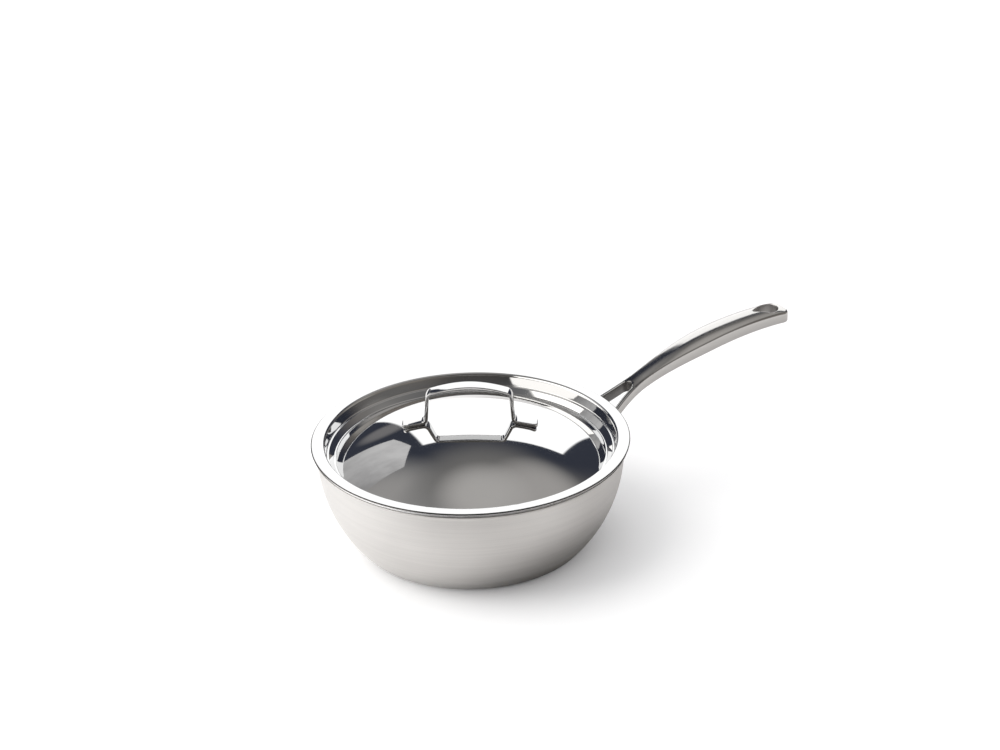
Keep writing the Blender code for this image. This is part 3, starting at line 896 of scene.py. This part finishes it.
def make_handle():
    outer, slot_start = handle_outline()
    hole = hole_outline()
    slot_radii = [SPOT_ROUND] * (len(outer) - slot_start)
    upper_radii = [upper_edge_round(x) for x, _ in outer[:slot_start]] + slot_radii
    lower_radii = [LOWER_EDGE_ROUND] * slot_start + slot_radii
    hole_radii = [SPOT_ROUND] * len(hole)
    points = []
    normals = []
    faces = []
    finishes = {}

    def add(rows):
        numbered = []
        for row in rows:
            numbered.append(list(range(len(points), len(points) + len(row))))
            points.extend(place for place, _ in row)
            normals.extend(direction for _, direction in row)
        return numbered

    def band(row, after, flip, rough=(), finish=0):
        for index, other in enumerate([*range(1, len(row)), 0]):
            if index in rough:
                finishes[len(faces)] = finish
            face = (row[index], row[other], after[other], after[index])
            faces.append(face[::-1] if flip else face)

    top_rims = []
    low_rims = []
    # The walls of the fork's slot take the dark material, painted shade between the prongs; the
    # hole's walls take a rougher steel.
    for loop, up_radii, low_radii, rough_from, finish in (
            (outer, upper_radii, lower_radii, slot_start, 1),
            (hole, hole_radii, hole_radii, 0, 2)):
        top_rows = add(edge_rows(loop, top_height, up_radii, 1))
        low_rows = add(edge_rows(loop, floor_height, low_radii, -1))
        band(low_rows[0], top_rows[0], False, range(rough_from, len(loop) - 1), finish)
        for row, after in zip(top_rows, top_rows[1:]):
            band(row, after, False)
        for row, after in zip(low_rows, low_rows[1:]):
            band(row, after, True)
        top_rims.append(top_rows[-1])
        low_rims.append(low_rows[-1])
    faces += fill(points, normals, top_rims, top_height, 1)
    faces += fill(points, normals, low_rims, floor_height, -1)

    mesh = bpy.data.meshes.new("handle_casting")
    mesh.from_pydata(points, [], faces)
    mesh.shade_smooth()
    mesh.validate()
    mesh.normals_split_custom_set_from_vertices(normals)
    for material in (HANDLE_STEEL, SLOT_WALL_PAINTED_SHADE, HOLE_CAST):
        mesh.materials.append(material)
    for number, finish in finishes.items():
        mesh.polygons[number].material_index = finish
    add_object("handle_casting", mesh, "pan", "long_handle")


def wall_radius(height):
    """Radius of the bowl's outer surface at a height near the rim."""
    rise = height - FLARE_CENTRE_HEIGHT
    if rise < 0:
        return WALL_CENTRE_RADIUS + math.sqrt(WALL_ARC_RADIUS ** 2 - rise ** 2)
    return FLARE_CENTRE_RADIUS - math.sqrt(max(0.0, FLARE_RADIUS ** 2 - rise ** 2))


def make_weld(name, side, node):
    """A hollow-faced fillet of weld metal round the foot of one prong."""
    rings = []
    steps = 8
    for step in range(steps + 1):
        share = step / steps
        leg = SEAT_GAP + between(WELD_LEG, WELD_TOE, math.sqrt(1 - (1 - share) ** 2))
        if step == steps:
            leg = SEAT_GAP * 0.5
        x = FOOT_X + share * WELD_LENGTH
        outer = half_width(x) + leg
        inner = half_width(x) - PRONG_THICKNESS - leg
        low = floor_height(x) - leg
        high = top_height(x, half_width(x)) + leg
        soft = min(leg + SPOT_ROUND, (outer - inner) / 2.2)
        ring = []
        corners = ((outer - soft, low + soft), (outer - soft, high - soft),
                   (inner + soft, high - soft), (inner + soft, low + soft))
        for quarter, corner in enumerate(corners):
            start = (quarter - 1) * math.pi / 2
            ring += arc(corner, soft, start, start + math.pi / 2, 5)
        rings.append([(math.sqrt(wall_radius(z) ** 2 - y ** 2) + share * WELD_LENGTH, side * y, z)
                      for y, z in ring])
    lofted(name, rings, WELD_STEEL, "pan", node)


# Studio: a floor, a soft key light from the left, and what polished steel sees round it.
# A direction is an azimuth, to the right of the camera's own, and an elevation, in degrees.

CAMERA_TURN = math.radians(28.6)
CAMERA_TILT = math.radians(25.7488)
CAMERA_ROLL = math.radians(-1.4073)
CAMERA_PLACE = (0.02484105, -1.67746386, 0.95206107)
CAMERA_LENS = 84.996

WHITE = (1.0, 1.0, 1.0, 1.0)
BLACK = (0.0, 0.0, 0.0, 1.0)
ROOM_TONE = (0.040, 0.045, 0.062, 1.0)
ROOM_LIGHT = (0.80, 0.80, 0.81, 1.0)

# Soft round patches of the room: direction, inner and outer angle, and tone
ROOM_PATCHES = (
    ((180, 15, 30, 80), (0.10, 0.093, 0.086)),
    ((105, 20, 20, 62), (0.24, 0.22, 0.20)),
    ((-80, 66, 8, 30), (0.22, 0.22, 0.225)),
    ((80, 62, 8, 36), (0.21, 0.205, 0.20)),
    ((0, 90, 5, 40), (0.13, 0.13, 0.135)),
    ((-66, 50, 4, 29), (0.38, 0.37, 0.36)),
    ((-60, 74, 2, 20), (0.30, 0.295, 0.29)),
    ((15, 72, 0, 31), (0.19, 0.185, 0.18)),
    ((56, 60, 3, 22), (0.43, 0.415, 0.40)),
    ((22, 79, 2, 21), (0.50, 0.485, 0.468)),
    ((-19, 17, 2, 7), (0.20, 0.195, 0.20)),
    ((84, 10, 4, 21), (0.42, 0.40, 0.375)),
)

# The white panel behind the pan and the large light on its left: corners, softness and tone
LIGHT_CARDS = (
    (((-14, -1), (18.5, -1), (31.3, 35.5), (3, 45), (-19, 42)), 0.006, (1.42, 1.42, 1.42)),
    (((-60, 3), (-51, 19), (-51, 30), (-64, 42), (-87, 60), (-112, 66), (-138, 50), (-140, 24),
      (-95, 3)), 0.012, (1.9, 1.86, 1.8)),
)

# Corners of the grey card, as distances right of the pan and up, how far behind it the card stands,
# and its shade from its left side to its right
GREY_CARD = ((-0.601, 0.299), (-0.442, 0.265), (-0.269, 0.391), (-0.261, 0.561),
             (-0.425, 0.860), (-0.806, 0.904), (-0.769, 0.526))
GREY_CARD_BEHIND = 0.5
GREY_CARD_SHADE = ((-0.75, -0.28), (0.36, 0.66))
GREY_CARD_TONE = (1.0, 0.99, 0.99)

KEY_DIRECTION = (-98, 55)
KEY_STRENGTH = 0.92
KEY_SPREAD = math.radians(40)
KEY_TONE = (1.0, 0.985, 0.965)

# The floor: a spot is an azimuth and a distance from the pan's axis, a range is distances from it.
# The pool and its two spots are painted light and the contact line is a painted shadow, all seen
# only in reflections.
FLOOR_HALF = 8.0
FLOOR_DROP = 0.00005
FLOOR_TONE = (0.97, 0.97, 0.97, 1.0)
MIRRORED_TONE = (0.80, 0.783, 0.772, 1.0)
MIRRORED_SHADE = (0.29, 0.282, 0.274, 1.0)
SHADE_SPOT = (114, 0.046)
SHADE_RANGE = (0.055, 0.123)
CONTACT_SHADOW = ((0.085, 0.101), (0.50, 1.0))
CONTACT_SHADOW_ENDS = ((-0.085, -0.045), (1.0, 0.0))
POOL_SLOPE = -2.0
POOL_MIDDLE = 0.22
POOL_MOST = 0.68
POOL_REACH = ((0.12, 0.30, 0.60), (1.2, 0.85, 0.72))
BRIGHT_SPOT = (140, 0.28)
BRIGHT_RANGE = (0.17, 0.04)
BRIGHT_LEVEL = 0.28
DIM_SPOT = (-160, 0.42)
DIM_RANGE = (0.27, 0.07)
DIM_LEVEL = 0.34
GLOW_SIDES = (0.12, -0.12)
GLOW_LEFT = 0.12
GLOW_CLEAR = 0.10
GLOW_LEAST = 0.03


def studio_direction(azimuth, elevation):
    """The direction as a unit vector."""
    turn = math.radians(azimuth) + CAMERA_TURN
    rise = math.radians(elevation)
    level = math.cos(rise)
    return Vector((math.sin(turn) * level, math.cos(turn) * level, math.sin(rise)))


def dot(tree, direction, axis):
    node = add_node(tree, "ShaderNodeVectorMath", operation="DOT_PRODUCT")
    tree.links.new(direction, node.inputs[0])
    node.inputs[1].default_value = axis
    return node.outputs["Value"]


def mix(tree, share, first, second):
    """Mixes two colours: the node's sockets 6, 7 and 2 are its colour ones."""
    node = add_node(tree, "ShaderNodeMix", data_type="RGBA")
    connect(tree, node.inputs[0], share)
    connect(tree, node.inputs[6], first)
    connect(tree, node.inputs[7], second)
    return node.outputs[2]


def card_mask(tree, direction, corners, softness):
    """1 inside a straight-sided card seen from the object, 0 outside."""
    points = [studio_direction(*corner) for corner in corners]
    middle = sum(points, Vector()).normalized()
    mask = 1.0
    for first, last in zip(points, points[1:] + points[:1]):
        normal = first.cross(last).normalized()
        if normal.dot(middle) < 0:
            normal = -normal
        within = soft_step(tree, dot(tree, direction, normal), -softness, softness)
        mask = times(tree, mask, within)
    return mask


def patch_mask(tree, direction, azimuth, elevation, inner, outer):
    """A soft round patch: 1 within the inner angle of its middle, 0 beyond the outer one."""
    nearness = dot(tree, direction, studio_direction(azimuth, elevation))
    return soft_step(tree, nearness, math.cos(math.radians(outer)), math.cos(math.radians(inner)))


def show(tree, shader, kind="ShaderNodeOutputMaterial"):
    tree.links.new(shader.outputs[0], add_node(tree, kind).inputs["Surface"])


def looked_at(tree, path):
    """1 where the camera looks, straight or through glass."""
    through_glass = path.outputs["Is Transmission Ray"]
    return maths(tree, "MAXIMUM", path.outputs["Is Camera Ray"], through_glass)


def make_world():
    world = bpy.data.worlds.new("studio")
    bpy.context.scene.world = world
    world.use_nodes = True
    tree = world.node_tree
    tree.nodes.clear()
    direction = add_node(tree, "ShaderNodeTexCoord").outputs["Generated"]
    colour = ROOM_TONE
    for patch, tone in ROOM_PATCHES:
        colour = mix(tree, patch_mask(tree, direction, *patch), colour, (*tone, 1.0))
    for corners, softness, tone in LIGHT_CARDS:
        colour = mix(tree, card_mask(tree, direction, corners, softness), colour, (*tone, 1.0))
    path = add_node(tree, "ShaderNodeLightPath")
    colour = mix(tree, path.outputs["Is Glossy Ray"], ROOM_LIGHT, colour)
    colour = mix(tree, looked_at(tree, path), colour, WHITE)
    background = add_node(tree, "ShaderNodeBackground")
    tree.links.new(colour, background.inputs["Color"])
    show(tree, background, "ShaderNodeOutputWorld")


def distance_from(tree, place, azimuth, reach):
    """Distance of a place on the floor from a spot."""
    node = add_node(tree, "ShaderNodeVectorMath", operation="DISTANCE")
    tree.links.new(place, node.inputs[0])
    node.inputs[1].default_value = studio_direction(azimuth, 0) * reach
    return node.outputs["Value"]


def mirrored_floor(tree, clear, across, out):
    """The floor's colour in reflections: darker in the pan's shade and round its foot."""
    tone = mix(tree, clear, MIRRORED_SHADE, MIRRORED_TONE)
    past_end = linear(tree, across, *CONTACT_SHADOW_ENDS)
    return mix(tree, maths(tree, "MAXIMUM", linear(tree, out, *CONTACT_SHADOW), past_end), BLACK, tone)


def mirrored_pool(tree, place, clear, across, out):
    """The light that reflections see on the floor, most of it on the left."""
    pool = maths(tree, "MULTIPLY_ADD", across, POOL_SLOPE, POOL_MIDDLE)
    pool = maths(tree, "MINIMUM", maths(tree, "MAXIMUM", pool, 0.0), POOL_MOST)
    pool = times(tree, pool, linear(tree, out, *POOL_REACH))
    bright = soft_step(tree, distance_from(tree, place, *BRIGHT_SPOT), *BRIGHT_RANGE)
    pool = maths(tree, "MULTIPLY_ADD", bright, BRIGHT_LEVEL, pool)
    dim = soft_step(tree, distance_from(tree, place, *DIM_SPOT), *DIM_RANGE)
    pool = maths(tree, "MAXIMUM", maths(tree, "MULTIPLY_ADD", dim, -DIM_LEVEL, pool), 0.0)
    return times(tree, pool, clear)


def stage_piece(name, corners, material_name):
    """A single face of the studio, with the tree of its new material, still empty."""
    mesh = bpy.data.meshes.new(name)
    mesh.from_pydata(corners, [], [range(len(corners))])
    material = bpy.data.materials.new(material_name)
    material.use_nodes = True
    material.node_tree.nodes.clear()
    mesh.materials.append(material)
    return add_object(name, mesh), material.node_tree


def make_floor():
    """A pale floor: it takes the shadow, and a little of its white is its own for the camera, with
    less of it in the pan's shade as a painted shadow and more on the left as painted light.
    """
    half = FLOOR_HALF
    corners = [(-half, -half, 0.0), (half, -half, 0.0), (half, half, 0.0), (-half, half, 0.0)]
    floor, tree = stage_piece("floor", corners, "pale_floor")
    floor.location.z = -FLOOR_DROP
    path = add_node(tree, "ShaderNodeLightPath")
    glossy = path.outputs["Is Glossy Ray"]
    place = add_node(tree, "ShaderNodeTexCoord").outputs["Object"]
    clear = soft_step(tree, distance_from(tree, place, *SHADE_SPOT), *SHADE_RANGE)
    across = dot(tree, place, studio_direction(90, 0))
    out = distance_from(tree, place, 0, 0.0)
    diffuse = add_node(tree, "ShaderNodeBsdfDiffuse")
    mirrored = mirrored_floor(tree, clear, across, out)
    tree.links.new(mix(tree, glossy, FLOOR_TONE, mirrored), diffuse.inputs["Color"])
    glow = add_node(tree, "ShaderNodeEmission")
    glow.inputs["Color"].default_value = WHITE
    glint = times(tree, glossy, mirrored_pool(tree, place, clear, across, out))
    left = soft_step(tree, across, *GLOW_SIDES)
    # Painted shadow and light for the camera: less of the floor's own glow in the pan's shade, more
    # on the left.
    own = times(tree, maths(tree, "MULTIPLY_ADD", left, GLOW_LEFT, GLOW_CLEAR), clear)
    own = maths(tree, "ADD", own, GLOW_LEAST)
    strength = maths(tree, "MULTIPLY_ADD", looked_at(tree, path), own, glint)
    tree.links.new(strength, glow.inputs["Strength"])
    total = add_node(tree, "ShaderNodeAddShader")
    tree.links.new(diffuse.outputs[0], total.inputs[0])
    tree.links.new(glow.outputs[0], total.inputs[1])
    show(tree, total)


def make_grey_card():
    """A grey card behind the pan on the left, seen only in polished metal."""
    into_part = Matrix.Rotation(-CAMERA_TURN, 3, "Z")
    corners = [into_part @ Vector((x, GREY_CARD_BEHIND, z)) for x, z in GREY_CARD]
    card, tree = stage_piece("grey_card", corners, "grey_card")
    place = add_node(tree, "ShaderNodeTexCoord").outputs["Object"]
    shade = linear(tree, dot(tree, place, studio_direction(90, 0)), *GREY_CARD_SHADE)
    creases = noise(tree, place, scale=7.0, detail=3.0, roughness=0.6)
    shade = times(tree, shade, spread(tree, creases, 0.86, 1.12))
    glow = add_node(tree, "ShaderNodeEmission")
    tree.links.new(tinted(tree, GREY_CARD_TONE, shade), glow.inputs["Color"])
    show(tree, glow)
    card.visible_camera = False
    card.visible_diffuse = False
    card.visible_shadow = False


def make_key_light():
    light = bpy.data.lights.new("key", "SUN")
    light.energy = KEY_STRENGTH
    light.angle = KEY_SPREAD
    light.color = KEY_TONE
    lamp = add_object("key", light)
    lamp.visible_glossy = False
    lamp.rotation_euler = studio_direction(*KEY_DIRECTION).to_track_quat("Z", "Y").to_euler()


def make_camera():
    """The photograph's view: a long lens looking down at the lid, the handle away to the right."""
    into_part = Matrix.Rotation(-CAMERA_TURN, 3, "Z")
    forward = into_part @ Vector((0.0, math.cos(CAMERA_TILT), -math.sin(CAMERA_TILT)))
    right = into_part @ Vector((1.0, 0.0, 0.0))
    up = right.cross(forward)
    image_right = math.cos(CAMERA_ROLL) * right + math.sin(CAMERA_ROLL) * up
    image_up = math.cos(CAMERA_ROLL) * up - math.sin(CAMERA_ROLL) * right
    camera_data = bpy.data.cameras.new("camera")
    camera_data.sensor_fit = "HORIZONTAL"
    camera_data.sensor_width = 36.0
    camera_data.lens = CAMERA_LENS
    camera_data.clip_start = 0.05
    camera_data.clip_end = 60.0
    camera = add_object("camera", camera_data)
    placed = Matrix((image_right, image_up, -forward)).transposed().to_4x4()
    placed.translation = into_part @ Vector(CAMERA_PLACE)
    camera.matrix_world = placed
    bpy.context.scene.camera = camera


make_camera()
make_world()
make_floor()
make_grey_card()
make_key_light()
make_bowl()
make_lid()
make_strap()
make_handle()
make_weld("weld_left", 1, "fork_weld_left")
make_weld("weld_right", -1, "fork_weld_right")
for node in ("strap_weld_left", "strap_weld_right"):
    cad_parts[node].material_slots[0].material = NUGGET_STEEL

bpy.context.scene.view_settings.view_transform = "Standard"
